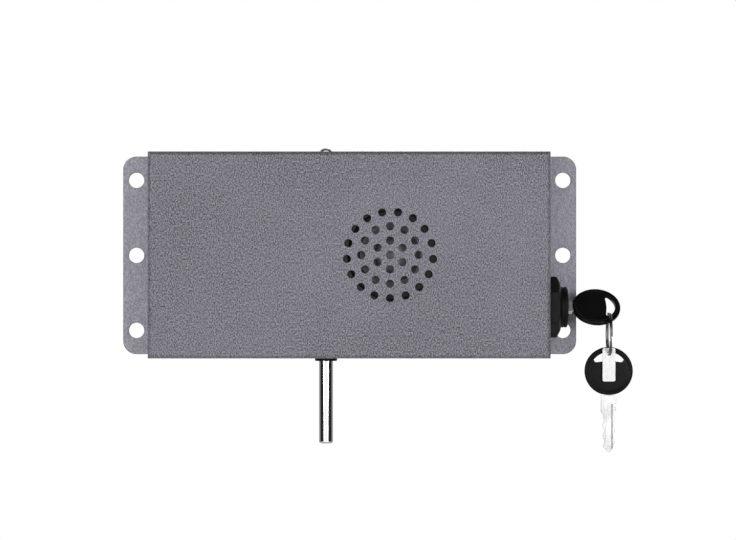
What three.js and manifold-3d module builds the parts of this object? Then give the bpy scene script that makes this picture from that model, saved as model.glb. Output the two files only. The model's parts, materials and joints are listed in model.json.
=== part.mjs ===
// A wall-mounted alarm bolt lock: a folded steel housing on a flanged base plate, a motor-driven
// sliding bolt, a siren behind a drilled grille, and a key switch with two keys on a ring.
// Millimetres. +X is to the right of someone facing the wall, +Y points into the wall, +Z is up.
// The origin is the centre of the base plate's back face, which rests on the wall.
import * as THREE from "three";
import { mergeVertices } from "three/addons/utils/BufferGeometryUtils.js";
import Module from "manifold-3d";

const wasm = await Module();
wasm.setup();

// ---------- driving dimensions ----------

const GAP = 0.3; // between pieces that touch
const DEPTH = 40; // wall to front face
const COVER = { halfWidth: 107, halfHeight: 55, sheet: 1.5, bend: 2, back: -2.3 };
const PLATE = { width: 247.6, height: 108, thick: 2, corner: 7.3, hole: 4.2, holeX: 116.5, holeZ: 41 };
const INSIDE = {
  x: COVER.halfWidth - COVER.sheet,
  z: COVER.halfHeight - COVER.sheet,
  front: -DEPTH + COVER.sheet,
};
const TAB = { x: 92, z: INSIDE.z - 5, width: 16, reach: 10 }; // lips that the base screws bite into
const GRILLE = { x: 21.7, hole: 2.1, step: 7.65, counts: [1, 6, 12, 17] };
const SIREN = { x: 23.5, flange: 28.5, cone: 17.8, stud: 32.5, ear: 5 };
const BOLT = { x: -12.6, y: -20, radius: 4, bottom: -101.3, top: 4 };
const CARRIAGE = { bottom: -46, top: 4, left: -18.2, right: -6.6, back: -15.4, tongue: 2.2, pinZ: -20 };
const RACK = { front: -34, back: -29, pitchX: BOLT.x - 8, module: 1, play: 0.16 };
const PINION = { teeth: 16, x: RACK.pitchX - 8, pitchRadius: 8, front: -33.8, back: -29.2 };
const SCREW_HOLE = 1.75; // radius of every small screw's hole
const PRESSURE_ANGLE = (20 * Math.PI) / 180;
const RAIL = { bottom: -48, top: 47, half: 5.2, slot: 2.5, front: -12, floor: -4.3 };
const LOCK = { y: -20, z: -28, barrel: 10.95, bore: 7, plug: 6.7, rear: 86.5, face: 117.3 };
const NUT = { corners: 16.5, shoulder: 111, end: 113.4, crown: 12.8 };
const KEY = { x: 132.95, radius: 13, thick: 3, recess: 0.3, holeArc: 10.1, holeChord: 5.2, tip: -43.6 };
const KEY_TURN = -Math.PI / 4; // how far the inserted key is turned
const RING = { x: 139.4, y: -25.2, z: -42.35, radius: 11, wire: 0.85 };
const SPARE = { x: 139.1, z: -62.2 }; // the spare key's head centre
const TAG = { x: 139, y: -28.05, width: 6.9, length: 18, thick: 0.8, hole: 1.6, holeZ: -53.2, edge: 3.5 };
const TRAY = { left: -104.7, right: -46.1, half: 35.3, wall: 1.3, front: -12 };
const CELL = { radius: 9.1, half: 32.5, y: -13.1, xs: [-94.1, -75.4, -56.7] };
const BOARD = { left: 57, right: 102, bottom: 2, top: 43, back: -7.8, front: -9.4, inset: 4 };
const BLOCK = { left: 74, right: 91, bottom: 5, top: 14, holes: [76.5, 80.5, 84.5, 88.5], y: -14 };

// ---------- materials ----------

const finish = (color, roughness, metalness) =>
  new THREE.MeshStandardMaterial({ color, roughness, metalness });

const FINISH = {
  housing: finish(0x807e89, 0.55, 0.1),
  polished: finish(0xd8d8d8, 0.12, 1),
  zinc: finish(0xb4b6ba, 0.35, 1),
  blackMetal: finish(0x202023, 0.4, 0.3),
  blackPlastic: finish(0x1b1b1c, 0.45, 0),
  rubber: finish(0x101010, 0.8, 0),
  brass: finish(0xb89a55, 0.35, 1),
  cone: finish(0x9a9a9e, 0.6, 0.1),
  magnet: finish(0x3a3a3c, 0.6, 0.4),
  circuit: finish(0x1f5a34, 0.5, 0),
  relay: finish(0x2f5f9a, 0.5, 0),
  cell: finish(0x3d7d96, 0.4, 0.1),
  lead: finish(0x8c1f1f, 0.6, 0),
  nylon: finish(0xdedcd2, 0.5, 0),
  tag: finish(0xe3e3e4, 0.4, 0.2),
};

// ---------- solids ----------

// A closed three.js geometry as a solid that can be cut and joined.
function solid(geometry) {
  const bare = geometry.clone();
  bare.deleteAttribute("normal");
  bare.deleteAttribute("uv");
  const merged = mergeVertices(bare, 1e-4);
  return new wasm.Manifold(
    new wasm.Mesh({
      numProp: 3,
      vertProperties: merged.attributes.position.array,
      triVerts: new Uint32Array(merged.index.array),
    }),
  );
}

// The solid's surface as a named mesh.
function part(name, body, material) {
  const { vertProperties, triVerts } = body.getMesh();
  const geometry = new THREE.BufferGeometry();
  geometry.setAttribute("position", new THREE.BufferAttribute(vertProperties, 3));
  geometry.setIndex(new THREE.BufferAttribute(triVerts, 1));
  geometry.computeVertexNormals();
  const mesh = new THREE.Mesh(geometry, material);
  mesh.name = name;
  return mesh;
}

const join = (...bodies) => bodies.reduce((all, next) => all.add(next));
const cut = (body, ...tools) => tools.reduce((left, tool) => left.subtract(tool), body);
const repeat = (count, make) => [...Array(count).keys()].map(make);

function box([x0, x1], [y0, y1], [z0, z1]) {
  const geometry = new THREE.BoxGeometry(x1 - x0, y1 - y0, z1 - z0);
  return solid(geometry.translate((x0 + x1) / 2, (y0 + y1) / 2, (z0 + z1) / 2));
}

// Lays a geometry made about +Y along the axis named.
function lay(geometry, axis) {
  if (axis === "x") return geometry.rotateZ(-Math.PI / 2);
  if (axis === "z") return geometry.rotateX(Math.PI / 2);
  return geometry;
}

// Moves a geometry on an axis to the two other coordinates, given in X, Y, Z order.
function place(geometry, axis, [first, second]) {
  if (axis === "x") return geometry.translate(0, first, second);
  if (axis === "z") return geometry.translate(first, second, 0);
  return geometry.translate(first, 0, second);
}

// A solid turned about an axis; the profile of [radius, along] starts and ends on it, low end first.
function turned(axis, at, profile, sides = 20) {
  const points = profile.map(([radius, along]) => new THREE.Vector2(radius, along));
  return solid(place(lay(new THREE.LatheGeometry(points, sides), axis), axis, at));
}

// A turned ring; the corners of [radius, along] run counter-clockwise.
function ring(axis, at, corners, sides = 20) {
  return turned(axis, at, [...corners, corners[0]], sides);
}

function bar(axis, at, radius, [from, to], sides = 16) {
  return turned(axis, at, [[0, from], [radius, from], [radius, to], [0, to]], sides);
}

function tube(axis, at, inner, outer, [from, to], sides = 20) {
  return ring(axis, at, [[inner, from], [outer, from], [outer, to], [inner, to]], sides);
}

const outline = (points) => new THREE.Shape(points.map(([x, y]) => new THREE.Vector2(x, y)));

function roundedOutline(width, height, radius) {
  const w = width / 2 - radius;
  const h = height / 2 - radius;
  const shape = new THREE.Shape();
  shape.absarc(w, h, radius, 0, Math.PI / 2);
  shape.absarc(-w, h, radius, Math.PI / 2, Math.PI);
  shape.absarc(-w, -h, radius, Math.PI, 1.5 * Math.PI);
  shape.absarc(w, -h, radius, 1.5 * Math.PI, 2 * Math.PI);
  return shape;
}

// An outline in X-Z made solid over a range of Y.
function panel(shape, [y0, y1], curveSegments = 6) {
  const options = { depth: y1 - y0, bevelEnabled: false, curveSegments };
  return solid(new THREE.ExtrudeGeometry(shape, options).rotateX(Math.PI / 2).translate(0, y1, 0));
}

// A six-sided bar with a corner pointing along the second of its two cross axes.
function hexBar(axis, at, corners, [from, to]) {
  return bar(axis, at, corners, [from, to], 6);
}

// A round lead along a smooth curve through the points.
function lead(points) {
  const path = new THREE.CatmullRomCurve3(points.map((p) => new THREE.Vector3(...p)));
  const sides = 8;
  const section = repeat(sides, (i) => (i * 2 * Math.PI) / sides).map((a) => [Math.cos(a), Math.sin(a)]);
  const steps = 3 * (points.length - 1);
  const options = { steps, extrudePath: path, bevelEnabled: false };
  return solid(new THREE.ExtrudeGeometry(outline(section), options));
}

// ---------- housing ----------

// A block as deep as the cover whose front edges are rounded, inset from the cover's outside.
function bentBlock(inset, radius, back) {
  const front = -DEPTH + inset;
  const section = (half) => {
    const shape = new THREE.Shape();
    shape.moveTo(half, back);
    shape.lineTo(-half, back);
    shape.absarc(-half + radius, front + radius, radius, Math.PI, 1.5 * Math.PI);
    shape.absarc(half - radius, front + radius, radius, 1.5 * Math.PI, 2 * Math.PI);
    return shape;
  };
  const w = COVER.halfWidth - inset;
  const h = COVER.halfHeight - inset;
  const options = (depth) => ({ depth, bevelEnabled: false, curveSegments: 5 });
  const level = new THREE.ExtrudeGeometry(section(w), options(2 * h)).translate(0, 0, -h);
  const upright = new THREE.ExtrudeGeometry(section(h), options(2 * w)).rotateY(Math.PI / 2);
  return solid(level).intersect(solid(upright.translate(-w, 0, 0)));
}

const tabPlaces = [-1, 1].flatMap((sx) => [-1, 1].map((sz) => [sx * TAB.x, sz * TAB.z]));

const studPlaces = [90, 210, 330].map((degrees) => {
  const angle = THREE.MathUtils.degToRad(degrees);
  return [SIREN.x + SIREN.stud * Math.cos(angle), SIREN.stud * Math.sin(angle)];
});

// The outer ring starts from the bottom and the others from the top.
function grillePlaces() {
  return GRILLE.counts.flatMap((count, level) =>
    repeat(count, (i) => {
      const angle = (level === 3 ? -0.5 : 0.5) * Math.PI + (i * 2 * Math.PI) / count;
      const radius = level * GRILLE.step;
      return [GRILLE.x + radius * Math.cos(angle), radius * Math.sin(angle)];
    }),
  );
}

function frontCover() {
  const shell = cut(
    bentBlock(0, COVER.bend, COVER.back),
    bentBlock(COVER.sheet, COVER.bend - COVER.sheet, 1),
  );
  const tabs = tabPlaces.map(([x, z]) =>
    box(
      [x - TAB.width / 2, x + TAB.width / 2],
      [COVER.back - COVER.sheet, COVER.back],
      [z - TAB.reach / 2 - 0.2, z + TAB.reach / 2 + 0.2],
    ),
  );
  const studs = studPlaces.map((at) => bar("y", at, 1.5, [INSIDE.front - 0.5, -31.8], 8));
  return cut(
    join(shell, ...tabs, ...studs),
    ...grillePlaces().map((at) => bar("y", at, GRILLE.hole, [-DEPTH - 1, INSIDE.front + 1], 8)),
    ...tabPlaces.map((at) => bar("y", at, SCREW_HOLE, [-6, 0], 8)),
    bar("x", [LOCK.y, LOCK.z], 11.25, [INSIDE.x - 1, COVER.halfWidth + 1], 24),
    bar("z", [BOLT.x, BOLT.y], 5.3, [-COVER.halfHeight - 1, -INSIDE.z + 1]),
    bar("z", [BOLT.x, BOLT.y], SCREW_HOLE, [INSIDE.z - 1, COVER.halfHeight + 1], 8),
  );
}

// A countersunk screw whose head lies in the wall side of the base plate, grown all round by room.
function baseScrew(at, room = 0) {
  const past = room > 0 ? 1 : 0;
  return turned(
    "y",
    at,
    [
      [0, -6.5 - past],
      [1.4 + room, -6.5 - past],
      [1.4 + room, -1.9],
      [2.9 + room, -0.4],
      [2.9 + room, -0.2 + past],
      [0, -0.2 + past],
    ],
    10,
  );
}

const boardPlaces = [-1, 1].flatMap((sx) =>
  [-1, 1].map((sz) => [
    (BOARD.left + BOARD.right) / 2 + sx * ((BOARD.right - BOARD.left) / 2 - BOARD.inset),
    (BOARD.bottom + BOARD.top) / 2 + sz * ((BOARD.top - BOARD.bottom) / 2 - BOARD.inset),
  ]),
);
const railScrewPlaces = [-40, 40].map((z) => [BOLT.x, z]);
const bracketScrewPlaces = [-5.5, 5.5].map((z) => [-41.8, z]);
const trayScrewPlaces = [-39.5, 39.5].map((z) => [CELL.xs[1], z]);

function basePlate() {
  const sheet = panel(roundedOutline(PLATE.width, PLATE.height, PLATE.corner), [-PLATE.thick, 0], 8);
  const mountHoles = [-1, 1].flatMap((sx) =>
    [-1, 0, 1].map((sz) => bar("y", [sx * PLATE.holeX, sz * PLATE.holeZ], PLATE.hole, [-3, 1])),
  );
  const small = [...railScrewPlaces, ...bracketScrewPlaces, ...trayScrewPlaces, ...boardPlaces];
  return cut(
    sheet,
    ...mountHoles,
    ...tabPlaces.map((at) => baseScrew(at, GAP)),
    ...small.map((at) => bar("y", at, SCREW_HOLE, [-3, 1], 8)),
  );
}

// A pan-head screw driven towards the wall, with its head resting at the level named.
function panScrew(at, level, head, shank, tip) {
  const profile = [
    [0, level - 1.1],
    [head - 0.5, level - 1.1],
    [head, level - 0.5],
    [head, level],
    [shank, level],
    [shank, tip],
    [0, tip],
  ];
  return turned("y", at, profile, 8);
}

function housing() {
  return [
    part("front_cover", frontCover(), FINISH.housing),
    part("base_plate", basePlate(), FINISH.housing),
    ...tabPlaces.map((at, i) => part(`base_screw_${i + 1}`, baseScrew(at), FINISH.zinc)),
  ];
}

// ---------- bolt, rack and guide ----------

function boltRod() {
  const rod = turned("z", [BOLT.x, BOLT.y], [
    [0, BOLT.bottom],
    [BOLT.radius - 0.8, BOLT.bottom],
    [BOLT.radius, BOLT.bottom + 0.8],
    [BOLT.radius, BOLT.top],
    [0, BOLT.top],
  ]);
  return cut(rod, bar("y", [BOLT.x, CARRIAGE.pinZ], 1.6, [-30, -10], 12));
}

// The rack's toothed edge and back as an outline in X-Z, with a tooth centred on z = 0.
function rackOutline() {
  const pitch = Math.PI * RACK.module;
  const slope = Math.tan(PRESSURE_ANGLE);
  const halfAtPitch = pitch / 4 - RACK.play / 2;
  const tip = RACK.pitchX - RACK.module;
  const root = RACK.pitchX + 1.25 * RACK.module;
  const halfTip = halfAtPitch - slope * RACK.module;
  const halfRoot = halfAtPitch + slope * 1.25 * RACK.module;
  const last = Math.floor((CARRIAGE.top - halfRoot) / pitch);
  const first = Math.ceil((CARRIAGE.bottom + halfRoot) / pitch);
  const teeth = repeat(last - first + 1, (i) => (last - i) * pitch).flatMap((z) => [
    [root, z + halfRoot],
    [tip, z + halfTip],
    [tip, z - halfTip],
    [root, z - halfRoot],
  ]);
  const right = BOLT.x;
  return outline([
    [right, CARRIAGE.top],
    [root, CARRIAGE.top],
    ...teeth,
    [root, CARRIAGE.bottom],
    [right, CARRIAGE.bottom],
  ]);
}

function rackCarriage() {
  const height = [CARRIAGE.bottom, CARRIAGE.top];
  const rack = panel(rackOutline(), [RACK.front, RACK.back + 0.5]);
  const block = box([CARRIAGE.left, CARRIAGE.right], [RACK.back, CARRIAGE.back], height);
  const tongue = box(
    [BOLT.x - CARRIAGE.tongue, BOLT.x + CARRIAGE.tongue],
    [CARRIAGE.back - 0.5, -6.2],
    [CARRIAGE.bottom + 2, CARRIAGE.top - 2],
  );
  return cut(
    join(rack, block, tongue),
    bar("z", [BOLT.x, BOLT.y], BOLT.radius + 0.2, [CARRIAGE.bottom - 1, CARRIAGE.top + 1]),
    bar("y", [BOLT.x, CARRIAGE.pinZ], 1.6, [-36, -12], 12),
  );
}

function guideRail() {
  const height = [RAIL.bottom, RAIL.top];
  const channel = box([BOLT.x - RAIL.half, BOLT.x + RAIL.half], [RAIL.front, COVER.back], height);
  const slot = box([BOLT.x - RAIL.slot, BOLT.x + RAIL.slot], [RAIL.front - 1, RAIL.floor], [-60, 60]);
  return cut(channel, slot, ...railScrewPlaces.map((at) => bar("y", at, SCREW_HOLE, [-6, 0], 8)));
}

function bush() {
  return ring("z", [BOLT.x, BOLT.y], [
    [BOLT.radius + 0.2, -56.9],
    [6, -56.9],
    [6, -55.15],
    [5, -55.15],
    [5, -46.4],
    [BOLT.radius + 0.2, -46.4],
  ]);
}

function bushNut() {
  const hex = hexBar("z", [BOLT.x, BOLT.y], 8, [-53.2, -49.2]);
  return cut(hex, bar("z", [BOLT.x, BOLT.y], 5.3, [-54, -48]));
}

function stopBuffer() {
  const at = [BOLT.x, BOLT.y];
  return cut(bar("z", at, 6, [47.5, INSIDE.z - GAP]), bar("z", at, 1.7, [49, 54], 12));
}

function topScrew() {
  return turned(
    "z",
    [BOLT.x, BOLT.y],
    [
      [0, 49.6],
      [1.4, 49.6],
      [1.4, 55.1],
      [3.3, 55.1],
      [3.3, 56.2],
      [2.8, 57],
      [1.7, 57.5],
      [0, 57.7],
    ],
    16,
  );
}

function boltMechanism() {
  return [
    part("bolt_rod", boltRod(), FINISH.polished),
    part("rack_carriage", rackCarriage(), FINISH.zinc),
    part("carriage_pin", bar("y", [BOLT.x, CARRIAGE.pinZ], 1.3, [-33, -15.9], 12), FINISH.zinc),
    part("guide_rail", guideRail(), FINISH.blackPlastic),
    ...railScrewPlaces.map((at, i) =>
      part(`rail_screw_${i + 1}`, panScrew(at, RAIL.floor - 0.1, 2.2, 1.4, -0.4), FINISH.zinc),
    ),
    part("bolt_bush", bush(), FINISH.blackPlastic),
    part("bush_nut", bushNut(), FINISH.zinc),
    part("stop_buffer", stopBuffer(), FINISH.rubber),
    part("top_screw", topScrew(), FINISH.zinc),
  ];
}

// ---------- drive ----------

// One flank of a pinion tooth from root to tip, as [radius, half the tooth's angle there].
function toothFlank() {
  const base = PINION.pitchRadius * Math.cos(PRESSURE_ANGLE);
  const tip = PINION.pitchRadius + RACK.module;
  const root = PINION.pitchRadius - 1.25 * RACK.module;
  const involute = (radius) => {
    const angle = Math.acos(Math.min(1, base / radius));
    return Math.tan(angle) - angle;
  };
  const halfAtPitch = ((Math.PI * RACK.module) / 2 - RACK.play) / (2 * PINION.pitchRadius);
  const half = (radius) => halfAtPitch + involute(PINION.pitchRadius) - involute(Math.max(radius, base));
  const radii = [root, base, PINION.pitchRadius, tip];
  return radii.map((radius) => [radius, half(radius)]);
}

function pinionOutline() {
  const flank = toothFlank();
  const pitch = (2 * Math.PI) / PINION.teeth;
  // A space between two teeth faces the rack.
  const corners = repeat(PINION.teeth, (i) => (i + 0.5) * pitch).flatMap((centre) => [
    ...flank.map(([radius, half]) => [radius, centre - half]),
    ...flank.map(([radius, half]) => [radius, centre + half]).reverse(),
  ]);
  return outline(corners.map(([radius, a]) => [radius * Math.cos(a), radius * Math.sin(a)]));
}

function drivePinion() {
  const gear = panel(pinionOutline(), [PINION.front, PINION.back]).translate([PINION.x, 0, 0]);
  return cut(gear, bar("y", [PINION.x, 0], 1.65, [-40, -20], 16));
}

function gearbox() {
  const body = box([PINION.x - 6, PINION.x + 6], [-26.6, -18], [-5, 5]);
  const boss = bar("y", [PINION.x, 0], 2.4, [-28, -26], 16);
  return cut(join(body, boss), bar("y", [PINION.x, 0], 1.8, [-30, -20], 16));
}

function motorCan() {
  const can = bar("y", [PINION.x, 0], 6, [-17.9, -3.6]);
  const flats = box([PINION.x - 7, PINION.x + 7], [-20, 0], [-5, 5]);
  return can.intersect(flats);
}

function motorBracket() {
  const [left, right] = [PINION.x - 9.9, PINION.x + 7.9];
  const wall = 1.2;
  const face = -28.1;
  const span = [-9, 9];
  const front = box([left, right], [face, face + wall], span);
  const leftLeg = box([left, left + wall], [face, COVER.back], span);
  const rightLeg = box([right - wall, right], [face, COVER.back], span);
  const foot = box([left - 7, left + wall], [COVER.back - wall, COVER.back], span);
  return cut(
    join(front, leftLeg, rightLeg, foot),
    bar("y", [PINION.x, 0], 2.7, [-30, -26], 16),
    ...bracketScrewPlaces.map((at) => bar("y", at, SCREW_HOLE, [-5, 0], 8)),
  );
}

function drive() {
  return [
    part("drive_pinion", drivePinion(), FINISH.brass),
    part("motor_shaft", bar("y", [PINION.x, 0], 1.5, [-35, -20.4], 16), FINISH.zinc),
    part("gearbox", gearbox(), FINISH.brass),
    part("motor_can", motorCan(), FINISH.zinc),
    part("motor_bracket", motorBracket(), FINISH.zinc),
    ...bracketScrewPlaces.map((at, i) =>
      part(`bracket_screw_${i + 1}`, panScrew(at, -3.7, 2.4, 1.4, -0.4), FINISH.zinc),
    ),
  ];
}

// ---------- siren ----------

const sirenAt = [SIREN.x, 0];

function sirenBasket() {
  const cup = ring("y", sirenAt, [
    [24.6, -36.6],
    [SIREN.flange, -36.6],
    [SIREN.flange, -35],
    [25.8, -35],
    [19.2, -22.8],
    [7.6, -22.8],
    [7.6, -24.4],
    [18.2, -24.4],
  ]);
  const ears = studPlaces.map((at) => bar("y", at, SIREN.ear, [-36.6, -35], 20));
  const inside = turned("y", sirenAt, [[0, -38], [24.6, -38], [24.6, -36.6], [18.2, -24.5], [0, -24.5]]);
  const lug = box([40, 43.4], [-24.4, -22.8], [-8, -2]);
  const bores = studPlaces.map((at) => bar("y", at, 1.9, [-38, -33], 12));
  return cut(join(cup, ...ears, lug), inside, ...bores);
}

function sirenCone() {
  return turned("y", sirenAt, [
    [0, -32.6],
    [4, -32.2],
    [7, -31.2],
    [SIREN.cone, -36.2],
    [SIREN.cone, -35.4],
    [6.8, -30.2],
    [6.8, -24],
    [6.2, -24],
    [6.2, -30.4],
    [0, -31.4],
  ]);
}

function sirenSurround() {
  return ring("y", sirenAt, [
    [SIREN.cone + 0.3, -36],
    [19.5, -36.9],
    [22.5, -36.9],
    [23.6, -36],
    [23.6, -35.5],
    [22.5, -36.2],
    [19.5, -36.2],
    [SIREN.cone + 0.3, -35.4],
  ]);
}

function sirenMagnet() {
  return turned("y", sirenAt, [
    [0, -26],
    [5.6, -26],
    [5.6, -22.5],
    [16, -22.5],
    [16, -14.5],
    [0, -14.5],
  ]);
}

function siren() {
  const nut = (at) => cut(hexBar("y", at, 3.1, [-34.8, -32.6]), bar("y", at, 1.8, [-36, -31], 12));
  return [
    part("siren_gasket", tube("y", sirenAt, 24.8, SIREN.flange, [-38.3, -36.9]), FINISH.rubber),
    part("siren_basket", sirenBasket(), FINISH.blackMetal),
    part("siren_magnet", sirenMagnet(), FINISH.magnet),
    part("siren_surround", sirenSurround(), FINISH.rubber),
    part("siren_cone", sirenCone(), FINISH.cone),
    ...studPlaces.map((at, i) => part(`siren_nut_${i + 1}`, nut(at), FINISH.zinc)),
  ];
}

// ---------- key switch ----------

const lockAt = [LOCK.y, LOCK.z];

// The nut is chamfered at its outer end by a turned envelope.
function lockNut() {
  const hex = hexBar("x", lockAt, NUT.corners, [COVER.halfWidth + 0.15, NUT.end]);
  const envelope = turned("x", lockAt, [
    [0, 100],
    [17, 100],
    [17, NUT.shoulder],
    [NUT.crown, NUT.end],
    [0, NUT.end + 1],
  ]);
  return cut(hex.intersect(envelope), bar("x", lockAt, 11.25, [100, 120], 24));
}

function lockBarrel() {
  return ring("x", lockAt, [
    [LOCK.bore, LOCK.rear],
    [LOCK.barrel, LOCK.rear],
    [LOCK.barrel, 102],
    [13.5, 102],
    [13.5, INSIDE.x - GAP],
    [LOCK.barrel, INSIDE.x - GAP],
    [LOCK.barrel, LOCK.face - 0.6],
    [LOCK.barrel - 0.6, LOCK.face],
    [LOCK.bore, LOCK.face],
  ]);
}

function lockPlug() {
  const body = turned("x", lockAt, [
    [0, LOCK.rear - 3.4],
    [3, LOCK.rear - 3.4],
    [3, LOCK.rear + 0.3],
    [LOCK.plug, LOCK.rear + 0.3],
    [LOCK.plug, LOCK.face - 0.2],
    [0, LOCK.face - 0.2],
  ]);
  const keyway = box([KEY.x + KEY.tip - 0.8, 120], [-1.35, 1.35], [-4.6, 4.6]);
  return cut(body, turnedWithKey(keyway));
}

// Turns a solid made about the X axis to the inserted key's angle and moves it to the lock's axis.
function turnedWithKey(body) {
  return body.rotate([THREE.MathUtils.radToDeg(KEY_TURN), 0, 0]).translate([0, LOCK.y, LOCK.z]);
}

function lockCam() {
  const span = [LOCK.rear - 2.8, LOCK.rear - 0.4];
  const disc = join(bar("x", [0, 0], 8, span), box(span, [-2.5, 2.5], [0, 10.2]));
  return turnedWithKey(cut(disc, bar("x", [0, 0], 3.25, [80, 90], 16)));
}

function switchModule() {
  const back = LOCK.rear - 20;
  const cup = bar("x", lockAt, 12.5, [back, back + 24], 20);
  const mouth = bar("x", lockAt, 11.3, [back + 15, back + 25], 20);
  const lugs = [-6, 6].map((y) =>
    box([back - 4, back + 0.5], [LOCK.y + y - 1.5, LOCK.y + y + 1.5], [LOCK.z - 0.4, LOCK.z + 0.4]),
  );
  return join(cut(cup, mouth), ...lugs);
}

function keySwitch() {
  return [
    part("lock_nut", lockNut(), FINISH.blackPlastic),
    part("lock_barrel", lockBarrel(), FINISH.blackPlastic),
    part("lock_plug", lockPlug(), FINISH.blackMetal),
    part("lock_cam", lockCam(), FINISH.zinc),
    part("switch_module", switchModule(), FINISH.blackPlastic),
  ];
}

// ---------- keys, ring and tag ----------

// Both keys are made with the head's centre at the origin, the blade pointing down and the faces on Y.
function keyHead() {
  const { radius, thick, recess, holeArc, holeChord } = KEY;
  const half = thick / 2;
  const disc = bar("y", [0, 0], radius, [-half, half], 28);
  const dish = [
    bar("y", [0, 0], 11.3, [-half - 1, -half + recess], 20),
    bar("y", [0, 0], 11.3, [half - recess, half + 1], 20),
  ];
  const shape = new THREE.Shape();
  const start = Math.asin(holeChord / holeArc);
  shape.absarc(0, 0, holeArc, start, Math.PI - start);
  const pocket = box([-3.3, 3.3], [-0.95, 0.95], [-14, -8]);
  return cut(disc, ...dish, panel(shape, [-3, 3], 8), pocket);
}

function keyBlade() {
  const stem = [
    [-3, -8.4],
    [-3, -13.2],
    [-4.15, -13.2],
    [-4.15, -22.6],
    [-3.2, -23.2],
  ];
  const cuts = repeat(7, (i) => [
    [i % 2 === 0 ? -2.3 : -3.2, -25 - 2.1 * i],
    [i % 2 === 0 ? -2.3 : -3, -25.8 - 2.1 * i],
  ]).flat();
  const left = [...stem, ...cuts, [-2.9, KEY.tip + 2.6], [-0.8, KEY.tip]];
  const shortShoulder = ([x, z]) => (z === -22.6 ? [-x, -17.2] : z === -23.2 ? [-x, -17.8] : [-x, z]);
  const right = left.map(shortShoulder).reverse();
  const flat = panel(outline([...left, ...right]), [-1, 1]);
  const groove = box([1.3, 2.05], [-1.5, -0.55], [-50, -17.6]);
  const tang = [-1, 1].map((side) => box([-5, 5], [side - 0.35, side + 0.35], [-13.1, -8]));
  return cut(flat, groove, ...tang);
}

// Lays a key made upright into the lock: blade towards -X, then turned about the lock's axis.
function inserted(body) {
  return turnedWithKey(body.rotate([0, 90, 0]).translate([KEY.x, 0, 0]));
}


function hanging(body) {
  return body.translate([SPARE.x, RING.y, SPARE.z]);
}

function keyRing() {
  const torus = new THREE.TorusGeometry(RING.radius, RING.wire, 6, 30);
  return solid(torus.rotateY(Math.PI / 2).translate(RING.x, RING.y, RING.z));
}

function numberTag() {
  const middle = TAG.holeZ + TAG.edge - TAG.length / 2;
  const plate = panel(roundedOutline(TAG.width, TAG.length, 1), [-TAG.thick / 2, TAG.thick / 2], 4);
  const hole = bar("y", [RING.x, TAG.holeZ], TAG.hole, [TAG.y - 2, TAG.y + 2], 16);
  return cut(plate.translate([TAG.x, TAG.y, middle]), hole);
}

function keys() {
  return [
    part("key_head", inserted(keyHead()), FINISH.blackPlastic),
    part("key_blade", inserted(keyBlade()), FINISH.zinc),
    part("key_ring", keyRing(), FINISH.polished),
    part("spare_key_head", hanging(keyHead()), FINISH.blackPlastic),
    part("spare_key_blade", hanging(keyBlade()), FINISH.zinc),
    part("number_tag", numberTag(), FINISH.tag),
  ];
}

// ---------- battery ----------

function batteryTray() {
  const { left, right, half, wall, front } = TRAY;
  const outer = box([left, right], [front, COVER.back], [-half, half]);
  const inner = box([left + wall, right - wall], [front - 1, -3.6], [-half + wall, half - wall]);
  const ears = trayScrewPlaces.map(([x, z]) =>
    box([x - 5, x + 5], [-3.8, COVER.back], [z - 4.5, z + 4.5]),
  );
  const ends = [-1, 1].map((side) => {
    const near = side * (half - wall);
    const far = side * half;
    return box([left, right], [-21, front + 0.5], [Math.min(near, far), Math.max(near, far)]);
  });
  return cut(
    join(outer, ...ears, ...ends),
    inner,
    ...trayScrewPlaces.map((at) => bar("y", at, SCREW_HOLE, [-5, 0], 8)),
  );
}

function cell(x) {
  return turned("z", [x, CELL.y], [
    [0, -CELL.half],
    [CELL.radius, -CELL.half],
    [CELL.radius, CELL.half],
    [3, CELL.half],
    [3, CELL.half + 1],
    [0, CELL.half + 1],
  ], 24);
}

function battery() {
  return [
    part("battery_tray", batteryTray(), FINISH.blackPlastic),
    ...trayScrewPlaces.map((at, i) =>
      part(`tray_screw_${i + 1}`, panScrew(at, -3.9, 2.4, 1.4, -0.4), FINISH.zinc),
    ),
    ...CELL.xs.map((x, i) => part(`battery_cell_${i + 1}`, cell(x), FINISH.cell)),
  ];
}

// ---------- circuit board ----------

function terminalBlock() {
  const body = box([BLOCK.left, BLOCK.right], [-19, BOARD.front - 0.2], [BLOCK.bottom, BLOCK.top]);
  const entries = BLOCK.holes.map((x) => bar("z", [x, BLOCK.y], 1.4, [BLOCK.bottom - 1, 10], 8));
  const drivers = BLOCK.holes.map((x) => bar("y", [x, 11.5], 1.2, [-20, -17.5], 8));
  return cut(body, ...entries, ...drivers);
}

function controlBoard() {
  const sheet = box([BOARD.left, BOARD.right], [BOARD.front, BOARD.back], [BOARD.bottom, BOARD.top]);
  return cut(sheet, ...boardPlaces.map((at) => bar("y", at, 1.6, [-12, -5], 8)));
}

// A snap-in post: its foot is in the base plate and its nose goes through the board.
function boardPost(at) {
  const nose = BOARD.front - 2;
  return turned(
    "y",
    at,
    [
      [0, nose],
      [0.8, nose],
      [1.4, BOARD.front - 0.4],
      [1.2, BOARD.back + 0.2],
      [2.6, BOARD.back + 0.2],
      [2.6, -PLATE.thick - 0.2],
      [1.4, -PLATE.thick - 0.2],
      [1.4, -0.4],
      [0, -0.4],
    ],
    10,
  );
}

function circuit() {
  const on = BOARD.front - 0.2;
  const relay = box([66, 85], [-25, on], [22, 37]);
  const chip = box([60, 70], [-11.8, on], [11, 18]);
  return [
    part("control_board", controlBoard(), FINISH.circuit),
    ...boardPlaces.map((at, i) => part(`board_post_${i + 1}`, boardPost(at), FINISH.nylon)),
    part("relay", relay, FINISH.relay),
    part("control_chip", chip, FINISH.blackPlastic),
    part("terminal_block", terminalBlock(), FINISH.relay),
  ];
}

// ---------- leads ----------

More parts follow.
